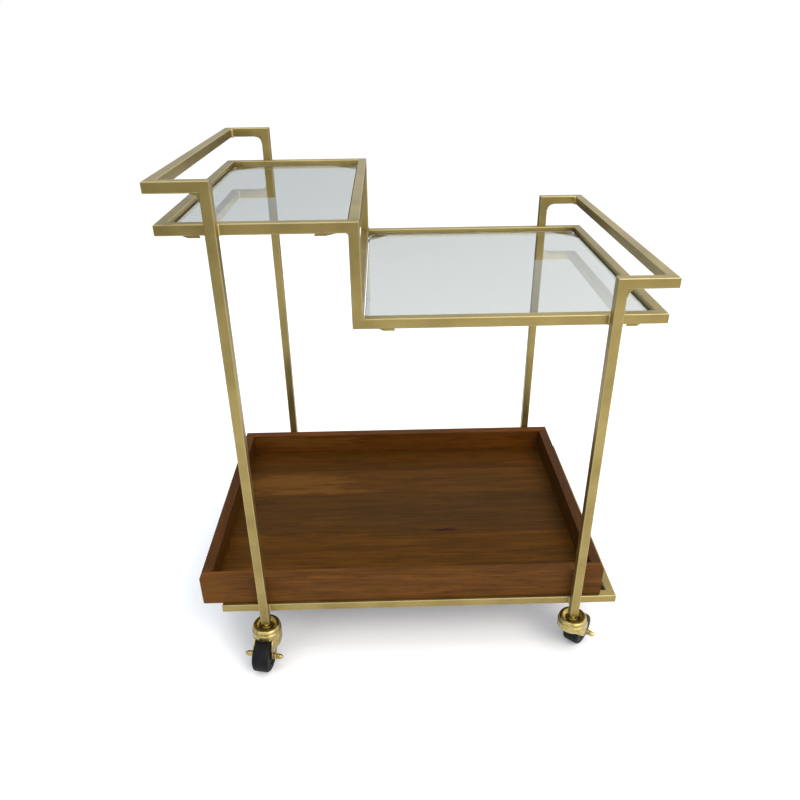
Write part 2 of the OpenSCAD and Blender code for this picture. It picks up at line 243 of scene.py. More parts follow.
# %% [markdown]
# ## Satin brass paint
# The tubes are steel, sprayed with a metallic brass paint and lacquered. Metal flake in the
# coat gives a satin sheen with soft cloudy patches about a hand wide and a fine sparkle. The
# rounded edges of the tube are painted lighter: partly the coat rubbed thin there, partly a
# painted highlight where the edges catch the light. That edge is marked on the mesh, as an
# attribute on its faces, so the material needs no guesswork.


# %% Make the brass paint
def make_brass_paint():
    material, tree, output = new_material("satin_brass_paint")
    clouds = noise(tree, (14, 14, 14), detail=4)
    speckle = noise(tree, (900, 900, 900), detail=2)
    coat = ramp(tree, clouds, [(0.3, "#80703A"), (0.5, "#93824A"), (0.72, "#A39157")])
    flecked = mixed(tree, remap(tree, speckle, 0.0, 0.45), coat, linear("#C0AD74"))
    # Marked edges are painted lighter: partly the coat rubbed thin, partly a painted highlight.
    edge = add_node(tree, "ShaderNodeAttribute", attribute_name="edge").outputs["Fac"]
    rubbed_and_highlit = mixed(tree, remap(tree, edge, 0.0, 0.3), flecked, linear("#D2C290"))
    patches = noise(tree, (45, 45, 45), detail=5)
    peel = noise(tree, (420, 420, 420), detail=2)
    bump = add_node(tree, "ShaderNodeBump", {"Strength": 0.12, "Distance": 0.0004, "Height": peel})
    shader = add_node(tree, "ShaderNodeBsdfPrincipled",
                      {"Base Color": rubbed_and_highlit, "Metallic": 0.9,
                       "Roughness": remap(tree, patches, 0.3, 0.46),
                       "Coat Weight": 0.15, "Coat Roughness": 0.25,
                       "Normal": bump.outputs["Normal"]})
    tree.links.new(shader.outputs[0], output.inputs["Surface"])
    return material


# %% [markdown]
# ## Polished brass
# The caster hoods, stems and nuts are brass plated and polished, so they mirror the room in
# broad bands. Handling leaves faint smears, which only change how sharp the reflection is,
# and the plate's tone drifts browner in small patches.


# %% Make the polished brass
def make_polished_brass():
    material, tree, output = new_material("polished_brass")
    smears = noise(tree, (60, 60, 160), detail=4)
    tarnish = noise(tree, (110, 110, 110), detail=5)
    colour = ramp(tree, tarnish, [(0.32, "#9A874A"), (0.5, "#B9A766"), (0.75, "#D2C48E")])
    shader = add_node(tree, "ShaderNodeBsdfPrincipled",
                      {"Base Color": colour, "Metallic": 1.0,
                       "Roughness": remap(tree, smears, 0.2, 0.38),
                       "Coat Weight": 0.5, "Coat Roughness": 0.12})
    tree.links.new(shader.outputs[0], output.inputs["Surface"])
    return material


# %% [markdown]
# ## Dark stained wood
# The tray is solid hardwood, stained walnut brown and lacquered matt. Three patterns make it:
# long cloudy figure, fine streaks along the grain a few millimetres wide, and pores, the short
# dark dashes that open along it. Real pores are 0.3 mm wide; they are drawn at 1.5 mm so that
# they still show from where the cart is seen. A board number on the mesh shifts the patterns
# and picks the board's own tone, since no two boards take stain alike. Flames of paler sapwood
# lie at the left of the floor and the back wall, and one board has a small knot.


# %% Make the wood
BOARD_TONES = [(0.0, "#CCC655"), (0.25, "#B8B892"), (0.5, "#CBC69A"), (0.75, "#BEB58C"),
               (0.8, "#EBE6F6"), (0.87, "#B5A985"), (0.94, "#ABA095"), (1.0, "#E5D2BB")]
SAPWOOD = [((-0.24, 0.072, 0.13), (0.20, 0.012, 0.03)), ((-0.26, 0.108, 0.13), (0.13, 0.03, 0.03)),
           ((-0.25, 0.238, 0.165), (0.14, 0.012, 0.016)), ((-0.38, -0.25, 0.15), (0.04, 0.03, 0.03))]
KNOT = [((0.08, -0.076, 0.13), (0.03, 0.005, 0.03))]


def patches(tree, spots, ragged):
    """A mask that is 1 inside soft egg shapes, given in metres. Noise makes them ragged."""
    place = add_node(tree, "ShaderNodeTexCoord").outputs["Object"]
    mask = 0.0
    for middle, half in spots:
        from_middle = add_node(tree, "ShaderNodeVectorMath", {0: place, 1: middle},
                               operation="SUBTRACT").outputs[0]
        shrunk = add_node(tree, "ShaderNodeVectorMath", {0: from_middle, 1: half},
                          operation="DIVIDE").outputs[0]
        far = add_node(tree, "ShaderNodeVectorMath", {0: shrunk}, operation="LENGTH")
        torn = add_node(tree, "ShaderNodeMath", {0: far.outputs["Value"], 1: ragged},
                        operation="ADD").outputs[0]
        inside = add_node(tree, "ShaderNodeMapRange",
                          {"Value": torn, "From Min": 1.55, "From Max": 1.1}).outputs["Result"]
        mask = add_node(tree, "ShaderNodeMath", {0: inside, 1: mask},
                        operation="MAXIMUM").outputs[0]
    return mask


def make_wood(name, along, sheen):
    """Wood whose grain runs along X or Y."""
    material, tree, output = new_material(name)

    def grain(lengthwise, across):
        return (lengthwise, across, across) if along == "X" else (across, lengthwise, across)

    board = add_node(tree, "ShaderNodeAttribute", attribute_name="board").outputs["Fac"]
    shift = add_node(tree, "ShaderNodeCombineXYZ",
                     {"X": remap(tree, board, 0, 3.1), "Z": remap(tree, board, 0, 7.7)})
    place = add_node(tree, "ShaderNodeTexCoord").outputs["Object"]
    shifted = add_node(tree, "ShaderNodeVectorMath",
                       {0: place, 1: shift.outputs[0]}, operation="ADD").outputs[0]

    def layer(scale, detail, distortion=0.0):
        stretched = add_node(tree, "ShaderNodeMapping", {"Vector": shifted, "Scale": scale})
        return add_node(tree, "ShaderNodeTexNoise",
                        {"Vector": stretched.outputs[0], "Scale": 1.0, "Detail": detail,
                         "Distortion": distortion}).outputs["Fac"]

    figure = layer(grain(5, 60), 6, 0.8)
    streaks = layer(grain(14, 260), 6, 0.3)
    pores = layer(grain(45, 650), 2)
    stain = ramp(tree, figure, [(0.28, "#38220D"), (0.46, "#503210"), (0.58, "#623E16"),
                                (0.75, "#7A4C1B")])
    streaked = mixed(tree, remap(tree, streaks, 0.0, 1.0), linear("#140B05"), linear("#9A6524"))
    body = mixed(tree, 0.5, stain, streaked)
    toned = mixed(tree, 1.0, body, ramp(tree, board, BOARD_TONES), blend="MULTIPLY")
    ragged = remap(tree, layer(grain(14, 130), 6, 0.6), -0.9, 1.9)
    sappy = mixed(tree, patches(tree, SAPWOOD, ragged), toned, linear("#633F14"))
    knotted = mixed(tree, patches(tree, KNOT, ragged), sappy, linear("#2C0E05"))
    open_pore = add_node(tree, "ShaderNodeMapRange",
                         {"Value": pores, "From Min": 0.6, "From Max": 0.72}).outputs["Result"]
    pored = mixed(tree, remap(tree, open_pore, 0.0, 0.5), knotted, linear("#1E1003"))
    depth = add_node(tree, "ShaderNodeMath", {0: streaks, 1: open_pore}, operation="SUBTRACT")
    bump = add_node(tree, "ShaderNodeBump",
                    {"Strength": 0.25, "Distance": 0.0004, "Height": depth.outputs[0]})
    shader = add_node(tree, "ShaderNodeBsdfPrincipled",
                      {"Base Color": pored, "Roughness": remap(tree, streaks, 0.42, 0.6),
                       "Specular IOR Level": sheen, "Normal": bump.outputs["Normal"]})
    tree.links.new(shader.outputs[0], output.inputs["Surface"])
    return material


# %% [markdown]
# ## Glass
# The panes are 5 mm float glass, faintly green. A glass shader would throw a black shadow,
# because Blender stops lamp light at a refracting surface, so rays from lamps pass through a
# clear shader instead. The ground edge of a pane is rougher and a darker green. Part of that
# is the glass's own colour, since light runs a long way through it to get there; part is
# painted shade, which draws the dark gap between the pane and the frame.


# %% Make the glass
def make_glass(name, tint, roughness):
    material, tree, output = new_material(name)
    glass = add_node(tree, "ShaderNodeBsdfPrincipled",
                     {"Base Color": linear(tint), "Roughness": roughness, "IOR": 1.5,
                      "Transmission Weight": 1.0})
    clear = add_node(tree, "ShaderNodeBsdfTransparent", {"Color": linear(tint)})
    is_shadow = add_node(tree, "ShaderNodeLightPath").outputs["Is Shadow Ray"]
    either = add_node(tree, "ShaderNodeMixShader",
                      {0: is_shadow, 1: glass.outputs[0], 2: clear.outputs[0]})
    tree.links.new(either.outputs[0], output.inputs["Surface"])
    return material


# %% [markdown]
# ## Rubber, steel and clear pads
# The wheels are moulded black rubber: dull, slightly dusty, with a faint pebbled skin. The
# axles, bushes and balls are plain turned steel, and the plugs in the leg ends are black
# nylon. The pads under the glass are soft clear plastic.


# %% Make the small finishes
def make_plain(name, dark, light, metallic, rough_low, rough_high, grit_per_metre, grit_depth,
               sheen=0.5):
    """A moulded or turned finish: two close tones, uneven gloss and a fine grit."""
    material, tree, output = new_material(name)
    blotch = noise(tree, (70, 70, 70), detail=4)
    grit = noise(tree, (grit_per_metre,) * 3, detail=2)
    bump = add_node(tree, "ShaderNodeBump",
                    {"Strength": 0.3, "Distance": grit_depth, "Height": grit})
    shader = add_node(tree, "ShaderNodeBsdfPrincipled",
                      {"Base Color": ramp(tree, blotch, [(0.35, dark), (0.7, light)]),
                       "Metallic": metallic, "Roughness": remap(tree, blotch, rough_low, rough_high),
                       "Specular IOR Level": sheen,
                       "Normal": bump.outputs["Normal"]})
    tree.links.new(shader.outputs[0], output.inputs["Surface"])
    return material


BRASS_PAINT = make_brass_paint()
BRASS = make_polished_brass()
WOOD_LONG = make_wood("walnut_stain_lengthwise", "X", sheen=0.08)
WOOD_CROSS = make_wood("walnut_stain_crosswise", "Y", sheen=0.1)
GLASS = make_glass("float_glass", "#C4C8C4", 0.0)
# The rim glass is darkened partly as painted shade for the gap beside the frame.
GLASS_EDGE_GAP_SHADE = make_glass("ground_glass_edge_gap_shade", "#435850", 0.25)
RUBBER = make_plain("black_rubber", "#0B0B0D", "#151518", 0.0, 0.42, 0.6, 1400, 0.0002,
                    sheen=0.16)
NYLON = make_plain("black_nylon", "#101012", "#1B1B1E", 0.0, 0.4, 0.55, 900, 0.0001)
STEEL = make_plain("turned_steel", "#8C8C8E", "#B2B2B4", 1.0, 0.25, 0.4, 1800, 0.0001)
CLEAR_PAD = make_plain("clear_soft_plastic", "#7E8480", "#969C98", 0.0, 0.4, 0.5, 500, 0.0001,
                       sheen=0.2)
print("materials:", len(bpy.data.materials))


# %% [markdown]
# ## Finishing a piece
# Every piece ends the same way: its faces are shaded smooth, most of them with weighted
# normals, so flat sides stay flat and only the rounded edges shade round; it takes its
# material; it hides the CAD nodes it stands for; and it rides on a body.


# %% Finish a piece
def finish(piece, material, body, slot, *nodes, smooth_angle=None):
    select_only(piece)
    if smooth_angle is None:
        bpy.ops.object.shade_smooth_by_angle(angle=radians(40))
        apply_modifier(piece, "WEIGHTED_NORMAL", keep_sharp=True, weight=100)
    else:
        bpy.ops.object.shade_smooth_by_angle(angle=radians(smooth_angle))
    if not piece.data.materials:
        piece.data.materials.append(material)
    if nodes:
        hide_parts(*nodes)
    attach(piece, body)
    return piece


def mark_rubbed_and_highlit_edges(piece):
    """Marks the faces of rounded edges, those that look along no axis, for the lighter edge paint:
    rubbed-thin coat and painted highlight.
    """
    mark = piece.data.attributes.new("edge", "FLOAT", "FACE")
    for face in piece.data.polygons:
        slanted = max(abs(part) for part in face.normal) < 0.98
        mark.data[face.index].value = 1.0 if slanted else 0.0


# %% [markdown]
# ## Square tubes
# Each tube is 16 mm square steel with corners rolled to a small radius, and it is mitred
# where the frame turns a corner. A box of the tube's size gets its four long edges bevelled;
# then a slanted cut takes off each mitred end. The plane of a mitre passes through the edge
# where the long side ends, and faces halfway between outwards and away from that side.

# %% Tube helper
TUBE, TUBE_ROUND = 16 * MM, 1.5 * MM
X, Y, Z = Vector((1, 0, 0)), Vector((0, 1, 0)), Vector((0, 0, 1))


def far_corner(low, high, *ways):
    """The corner of a box that lies furthest along the given directions."""
    corner = (low + high) / 2
    for way in ways:
        for axis in range(3):
            if way[axis]:
                corner[axis] = high[axis] if way[axis] > 0 else low[axis]
    return corner


def square_tube(node, length_axis, mitres):
    """The tube of a CAD node. mitres are pairs: which way an end looks, and its long side."""
    low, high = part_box(node)
    piece = start_box(node + "_tube", low, high)
    edit(piece)
    pick("EDGE", lambda edge: abs(direction(edge).dot(length_axis)) > 0.9)
    bpy.ops.mesh.bevel(offset=TUBE_ROUND, segments=3, affect="EDGES")
    for outwards, long_side in mitres:
        bpy.ops.mesh.select_all(action="SELECT")
        bpy.ops.mesh.bisect(plane_co=far_corner(low, high, outwards, long_side),
                            plane_no=(outwards - long_side).normalized(),
                            use_fill=True, clear_outer=True)
    bpy.ops.object.mode_set(mode="OBJECT")
    mark_rubbed_and_highlit_edges(piece)
    return finish(piece, BRASS_PAINT, "frame", "brass_paint", node)


# %% [markdown]
# ## The frame, tube by tube
# The two ends of the cart are upturned frames: legs, short level arms, and a handle bar
# between them. The shelves hang between the legs as one stepped line of rail, post and rail
# at the front and again at the back, closed by cross rails. The base frame is a plain
# rectangle. A rail that butts against its neighbours has no mitre.

# %% Build the tubes
ENDS = {"left": -X, "right": X}
SIDES = {"front": -Y, "back": Y}
tubes = {}
for end, out in ENDS.items():
    tubes[f"handle_bar_{end}"] = (Y, [(-Y, out), (Y, out)])
    tubes[f"base_rail_{end}"] = (Y, [(-Y, out), (Y, out)])
    for side, face in SIDES.items():
        tubes[f"leg_{side}_{end}"] = (Z, [(Z, -out)])
        tubes[f"handle_arm_{side}_{end}"] = (X, [(out, face), (-out, Z)])
for side, face in SIDES.items():
    tubes[f"upper_rail_{side}"] = (X, [(-X, face), (X, Z)])
    tubes[f"step_post_{side}"] = (Z, [(Z, X), (-Z, -X)])
    tubes[f"lower_rail_{side}"] = (X, [(-X, -Z), (X, face)])
    tubes[f"base_rail_{side}"] = (X, [(-X, face), (X, face)])
tubes["upper_rail_left"] = (Y, [(-Y, -X), (Y, -X)])
tubes["lower_rail_right"] = (Y, [(-Y, X), (Y, X)])
tubes["upper_rail_right"] = (Y, [])
tubes["lower_rail_left"] = (Y, [])

for node, (length_axis, mitres) in tubes.items():
    square_tube(node, length_axis, mitres)
print("tubes:", len(tubes))

# %% [markdown]
# ## Braces across the corners
# A flat bar lies at 45 degrees across every corner of the three frames. It keeps the corner
# square. Under the shelves it is welded on from below and gives the glass a seat; in the base
# frame it is let in between the rails, so that nothing stands below them. Each bar is a thin
# box a little too long, turned about its own middle, and then cut flush with the two rails.

# %% Build the braces
BRACE_WIDTH, BRACE_THICK, BRACE_REACH = 12 * MM, 3 * MM, 46 * MM
BRACE_ROUND = 0.6 * MM
UNCUT_HALF_LENGTH = 70 * MM
BRACE_MIDDLE = BRACE_REACH / 2 + BRACE_WIDTH * sqrt(2) / 4


def corner_brace(name, corner, inwards_x, inwards_y, let_in):
    """One flat bar across a frame's corner, let in between its rails by their width."""
    middle = corner + Vector((inwards_x * BRACE_MIDDLE, inwards_y * BRACE_MIDDLE, BRACE_THICK / 2))
    half = Vector((UNCUT_HALF_LENGTH, BRACE_WIDTH / 2, BRACE_THICK / 2))
    piece = start_box(name, middle - half, middle + half)
    edit(piece)
    pick("EDGE", lambda edge: abs(direction(edge).x) > 0.9)
    bpy.ops.mesh.bevel(offset=BRACE_ROUND, segments=2, affect="EDGES")
    bpy.ops.mesh.select_all(action="SELECT")
    bpy.ops.transform.rotate(value=inwards_x * inwards_y * pi / 4, orient_axis="Z",
                             center_override=middle)
    for outwards in (-inwards_x * X, -inwards_y * Y):
        bpy.ops.mesh.select_all(action="SELECT")
        bpy.ops.mesh.bisect(plane_co=corner - outwards * let_in, plane_no=outwards,
                            use_fill=True, clear_outer=True)
    bpy.ops.object.mode_set(mode="OBJECT")
    return piece


def brace_set(node, let_in):
    """The four bars of a frame, joined into one piece."""
    low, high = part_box(node)
    bars = []
    for x, inwards_x in ((low.x - let_in, 1), (high.x + let_in, -1)):
        for y, inwards_y in ((low.y - let_in, 1), (high.y + let_in, -1)):
            bars.append(corner_brace(f"{node}_bar", Vector((x, y, low.z)), inwards_x, inwards_y,
                                     let_in))
    select_only(*bars)
    bpy.ops.object.join()
    piece = named(node + "_bars")
    mark_rubbed_and_highlit_edges(piece)
    return finish(piece, BRASS_PAINT, "frame", "brass_paint", node)


for node, let_in in (("upper_braces", 0), ("lower_braces", 0), ("base_braces", TUBE)):
    piece = brace_set(node, let_in)
    print(node, "size", [round(side / MM, 1) for side in piece.dimensions], "mm")

# %% [markdown]
# ## Welds
# Under each handle arm the corner is filled with weld metal and ground to a hollow curve. It
# starts as a small box whose free edge is bevelled with a hollow profile. Where a leg passes
# a rail, a row of overlapping weld pools runs up both sides of the leg: one squashed ball,
# repeated every 2 mm by an array. Two shorter rows close the inside corners of each handle.

# %% Corner fillets
FILLET, STEP_FILLET = 12 * MM, 3 * MM
SEAM = 0.3 * MM
FILLET_HALF_WIDTH = TUBE / 2 - SEAM


def corner_fillet(name, corner, way_x, way_z, radius, half_width):
    """A hollow-ground fillet, from an inside corner out along way_x and way_z."""
    far = corner + Vector((way_x * radius, 0, way_z * radius))
    low = Vector((min(corner.x, far.x), corner.y - half_width, min(corner.z, far.z)))
    high = Vector((max(corner.x, far.x), corner.y + half_width, max(corner.z, far.z)))
    piece = start_box(name, low, high)
    edit(piece)
    pick("EDGE", lambda edge: all((vert.co - far).xz.length < MM / 10 for vert in edge.verts))
    bpy.ops.mesh.bevel(offset=radius * 0.96, segments=8, profile=0.085, affect="EDGES")
    bpy.ops.object.mode_set(mode="OBJECT")
    mark_rubbed_and_highlit_edges(piece)
    return finish(piece, BRASS_PAINT, "frame", "brass_paint", smooth_angle=35)


for end, out in ENDS.items():
    for side in SIDES:
        leg_low, leg_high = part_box(f"leg_{side}_{end}")
        arm_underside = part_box(f"handle_arm_{side}_{end}")[0].z
        corner = Vector((leg_low.x if end == "left" else leg_high.x,
                         (leg_low.y + leg_high.y) / 2, arm_underside))
        corner_fillet(f"arm_fillet_{side}_{end}", corner, out.x, -1, FILLET, FILLET_HALF_WIDTH)

for side in SIDES:
    post_low, post_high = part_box(f"step_post_{side}")
    middle = (post_low.y + post_high.y) / 2
    upper = Vector((post_low.x, middle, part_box(f"upper_rail_{side}")[0].z))
    lower = Vector((post_high.x, middle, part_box(f"lower_rail_{side}")[1].z))
    corner_fillet(f"step_fillet_upper_{side}", upper, -1, -1, STEP_FILLET,
                  FILLET_HALF_WIDTH)
    corner_fillet(f"step_fillet_lower_{side}", lower, 1, 1, STEP_FILLET,
                  FILLET_HALF_WIDTH)

# %% Weld beads
BEAD_STEP = 2 * MM
BEAD_FOOT = 1.5 * MM
RAIL_BEAD_LENGTH, RAIL_BEAD_RADIUS = 13 * MM, 2.3 * MM
HANDLE_BEAD_LENGTH, HANDLE_BEAD_RADIUS = 11 * MM, 4 * MM


def weld_bead(name, foot, length, radius):
    """A row of weld pools that runs upwards from its foot in an inside corner."""
    select_only()
    bpy.ops.mesh.primitive_uv_sphere_add(segments=14, ring_count=8, radius=radius, location=foot)
    bpy.context.object.scale = (1, 1, 0.8)
    settle()
    piece = named(name)
    apply_modifier(piece, "ARRAY", count=int(length / BEAD_STEP) + 1, use_relative_offset=False,
                   use_constant_offset=True, constant_offset_displace=BEAD_STEP * Z)
    # Every face of the bead takes most of the lighter edge colour, a painted highlight on the bright
    # weld.
    mark = piece.data.attributes.new("edge", "FLOAT", "FACE")
    for item in mark.data:
        item.value = 0.8
    return finish(piece, BRASS_PAINT, "frame", "brass_paint", smooth_angle=60)


beads = 0
for end in ENDS:
    for side in SIDES:
        leg_low, leg_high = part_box(f"leg_{side}_{end}")
        shelf = "upper" if end == "left" else "lower"
        for rail in (f"{shelf}_rail_{side}", f"base_rail_{side}"):
            rail_low, rail_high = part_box(rail)
            y = rail_low.y if side == "front" else rail_high.y
            for x in (leg_low.x, leg_high.x):
                beads += 1
                weld_bead(f"rail_weld_{beads}", Vector((x, y, rail_low.z + BEAD_FOOT)),
                          RAIL_BEAD_LENGTH, RAIL_BEAD_RADIUS)
        bar_low, bar_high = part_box(f"handle_bar_{end}")
        arm_low, arm_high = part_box(f"handle_arm_{side}_{end}")
        corner = Vector((bar_high.x if end == "left" else bar_low.x,
                         arm_high.y if side == "front" else arm_low.y, bar_low.z + BEAD_FOOT))
        beads += 1
        weld_bead(f"handle_weld_{beads}", corner, HANDLE_BEAD_LENGTH, HANDLE_BEAD_RADIUS)
print("weld beads:", beads)

# %% [markdown]
# ## Glass panes
# Each pane is a box whose edges are ground to a small flat, so that nobody is cut. The ground
# rim gets its own duller glass, and the two large faces stay polished.


# %% Build the panes
PANE_CHAMFER = 0.7 * MM


def pane(node):
    low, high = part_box(node)
    piece = start_box(node + "_pane", low, high)
    edit(piece)
    bpy.ops.mesh.bevel(offset=PANE_CHAMFER, segments=1, affect="EDGES")
    bpy.ops.object.mode_set(mode="OBJECT")
    piece.data.materials.append(GLASS)
    # The darker rim glass is partly painted shade of the gap beside the frame.
    piece.data.materials.append(GLASS_EDGE_GAP_SHADE)
    for face in piece.data.polygons:
        face.material_index = 0 if abs(face.normal.z) > 0.9 else 1
    print(node, "rim faces:", sum(face.material_index for face in piece.data.polygons))
    return finish(piece, GLASS, "frame", "clear_glass", node, smooth_angle=20)


for node in ("upper_glass", "lower_glass"):
    pane(node)

# %% [markdown]
# ## The tray
# The tray is four walls round a floor of four boards glued edge to edge. The long walls run
# over the ends of the short ones. Every arris is eased by a pass of sandpaper, about 1 mm on
# the walls and less on the boards, whose tight joints show as fine dark lines.

# %% Build the tray
BOARD_SHARES = (0.33, 0.29, 0.2, 0.18)
WALL_ROUND, BOARD_ROUND = 1.1 * MM, 0.5 * MM


def board_number(piece, value):
    """Writes one board number on all faces, which shifts the wood's pattern and tone."""
    mark = piece.data.attributes.new("board", "FLOAT", "FACE")
    for item in mark.data:
        item.value = value


WALLS = {"tray_wall_front": (WOOD_LONG, 0.8), "tray_wall_back": (WOOD_LONG, 1.0),
         "tray_wall_left": (WOOD_CROSS, 0.87), "tray_wall_right": (WOOD_CROSS, 0.94)}
for node, (wood, number) in WALLS.items():
    piece = start_box(node + "_plank", *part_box(node))
    edit(piece)
    bpy.ops.mesh.bevel(offset=WALL_ROUND, segments=3, affect="EDGES")
    bpy.ops.object.mode_set(mode="OBJECT")
    board_number(piece, number)
    finish(piece, wood, "tray", "walnut", node)

low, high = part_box("tray_boards")
start = low.y
planks = []
for index, share in enumerate(BOARD_SHARES):
    width = share * (high.y - low.y)
    plank = start_box(f"plank_{index}", Vector((low.x, start, low.z)),
                      Vector((high.x, start + width, high.z)))
    edit(plank)
    pick("EDGE", lambda edge: abs(direction(edge).x) > 0.9)
    bpy.ops.mesh.bevel(offset=BOARD_ROUND, segments=2, affect="EDGES")
    bpy.ops.object.mode_set(mode="OBJECT")
    board_number(plank, index / 4)
    planks.append(plank)
    start += width
select_only(*planks)
bpy.ops.object.join()
floor_boards = named("tray_floor_planks")
finish(floor_boards, WOOD_LONG, "tray", "walnut", "tray_boards")
print("tray floor", [round(side / MM) for side in floor_boards.dimensions], "mm")

# %% [markdown]
# ## Turned parts
# Hoods, nuts and wheels are round, so they are turned as on a lathe: an outline is drawn point
# by point with extrusions, and spun about the axis. Each caster part is modelled once, around
# the caster's own swivel axis with the wheel trailing towards the front. It is then copied to
# the four legs, turned by how the caster stands, and mirrored for the two at the back.


# %% Lathe, copy and arc helpers
def lathe(name, outline, steps):
    """A round piece about the Z axis from a closed outline of (radius, height) in mm."""
    select_only()
    first = Vector((outline[0][0], 0, outline[0][1])) * MM
    bpy.ops.mesh.primitive_plane_add(size=MM, location=first)
    settle()
    piece = named(name)
    edit(piece)
    bpy.ops.mesh.select_mode(type="VERT")
    bpy.ops.mesh.merge(type="CENTER")
    place = outline[0]
    for point in list(outline[1:]) + [outline[0]]:
        move = Vector((point[0] - place[0], 0, point[1] - place[1])) * MM
        bpy.ops.mesh.extrude_vertices_move(TRANSFORM_OT_translate={"value": move})
        place = point
    bpy.ops.mesh.select_all(action="SELECT")
    bpy.ops.mesh.remove_doubles(threshold=0.01 * MM)
    bpy.ops.mesh.spin(steps=steps, angle=2 * pi, center=(0, 0, 0), axis=(0, 0, 1))
    bpy.ops.mesh.select_all(action="SELECT")
    bpy.ops.mesh.remove_doubles(threshold=0.01 * MM)
    bpy.ops.mesh.normals_make_consistent(inside=False)
    bpy.ops.object.mode_set(mode="OBJECT")
    return piece


def moved(piece, matrix):
    """Moves a piece by a matrix and settles it. A mirrored one gets its normals back."""
    select_only(piece)
    piece.matrix_world = matrix
    settle()
    edit(piece)
    bpy.ops.mesh.normals_make_consistent(inside=False)
    bpy.ops.object.mode_set(mode="OBJECT")
    return piece


def copied(piece, name, matrix):
    """A copy with its own mesh, moved by a matrix."""
    select_only(piece)
    bpy.ops.object.duplicate()
    return moved(named(name), matrix)


def arc(radius, height, size, start, stop, steps=8):
    """Points of an arc about (radius, height), from one angle to another in degrees."""
    turns = [radians(start + (stop - start) * i / steps) for i in range(steps + 1)]
    return [(radius + size * cos(a), height + size * sin(a)) for a in turns]


# %% [markdown]
# ## The fork
# A caster's fork is cast in one piece: a hood with a dished crown, a broad rolled crest round
# the dish, a groove and a beaded skirt below, and two arms that reach down to the axle. An
# arm is flat towards the wheel and swells outwards in the round under the hood. It is the
# hull of a round boss and of three blocks, and the swell is a turned body cut to that hull.

# %% Model one fork
AXLE = Vector((0, -28, 30)) * MM
ARM_INNER, ARM_THICK, BOSS = 15.95, 2.7, 6.5
ARM_ROUND, CHEEK_OUTER = 0.6, 28
ARM_BLOCKS = ((18, 18, 60, 64), (33, -32, 48, 49), (26, -25, 57, 58))  # front, back, low, high
STEM_HOLE, CROWN, CROWN_UNDER = 4.1, 74.5, 71.5

hood_outline = [(STEM_HOLE, CROWN), (12.5, CROWN), (14.5, CROWN + 0.5), (15.8, CROWN + 1.8)]
hood_outline += arc(21.2, 77.3, 4.4, 165, -15, 22) + [(25.4, 75.1), (25.1, 74.4), (25.3, 73.7)]
hood_outline += arc(25.6, 72, 1.4, 95, 0, 8) + [(27, 68), (27, 61.8)]
hood_outline += arc(26.4, 61.6, 0.6, 0, -90, 4)
hood_outline += [(24.8, 61), (24.6, 70), (23.4, 74), (22.6, 77.6), (21.2, 79.2), (19.4, 78.2)]
hood_outline += [(17.2, 73.4), (15.8, CROWN_UNDER), (STEM_HOLE, CROWN_UNDER)]
hood = lathe("hood", hood_outline, 80)

swell_outline = [(0, 64), (26.4, 64), (26.9, 61), (27, 56), (27, 52), (26.8, 48), (26.3, 44)]
swell_outline += [(25.3, 40), (23.7, 36), (21.3, 32.3), (18, 29), (0, 27)]
swell = lathe("swell", swell_outline, 96)


def arm_hull(name, inner, outer):
    """The hull of the boss and three blocks, between two distances from the wheel's middle."""
    select_only()
    bpy.ops.mesh.primitive_cylinder_add(
        vertices=64, radius=BOSS * MM, depth=(outer - inner) * MM, rotation=(0, pi / 2, 0),
        location=((inner + outer) / 2 * MM, AXLE.y, AXLE.z))
    settle()
    hull = named(name)
    blocks = [start_box("block", Vector((inner, -front, low)) * MM, Vector((outer, back, high)) * MM)
              for front, back, low, high in ARM_BLOCKS]
    select_only(hull, *blocks)
    bpy.ops.object.join()
    edit(hull)
    bpy.ops.mesh.convex_hull()
    bpy.ops.mesh.select_all(action="SELECT")
    bpy.ops.mesh.dissolve_limited(angle_limit=radians(1))
    bpy.ops.object.mode_set(mode="OBJECT")
    return hull


def fork_arm(way):
    """The arm on the +X or the -X side of the wheel."""
    plate = arm_hull("arm", ARM_INNER, ARM_INNER + ARM_THICK)
    edit(plate)
    pick("EDGE", lambda edge: edge.calc_face_angle(0) > radians(60))
    bpy.ops.mesh.bevel(offset=ARM_ROUND * MM, segments=3, affect="EDGES")
    bpy.ops.object.mode_set(mode="OBJECT")
    cheek = arm_hull("cheek", ARM_INNER + 0.1, CHEEK_OUTER)
    apply_modifier(cheek, "BOOLEAN", operation="INTERSECT", object=swell)
    tab = start_box("tab", Vector((ARM_INNER, -13, 63)) * MM,
                    Vector((ARM_INNER + ARM_THICK, 13, 74)) * MM)
    select_only(plate, cheek, tab)
    bpy.ops.object.join()
    arm = named("arm")
    if way < 0:
        moved(arm, Matrix.Diagonal((-1, 1, 1, 1)))
    return arm


arms = [fork_arm(1), fork_arm(-1)]
bpy.data.objects.remove(swell)
select_only(hood, *arms)
bpy.ops.object.join()
fork = named("fork_model")
print("fork", [round(side / MM, 1) for side in fork.dimensions], "mm")

# %% [markdown]
# ## Nuts and wheel
# A cap nut closes each end of the axle: a hexagon with eased corners under a tall domed cap.
# The wheel is a solid moulding with round shoulders, a shallow dish in each side, and the
# fine line round the tread where the two halves of the mould met.

# %% Model one nut pair and one wheel
NUT_FLATS, NUT_HEX = 11, 5.5


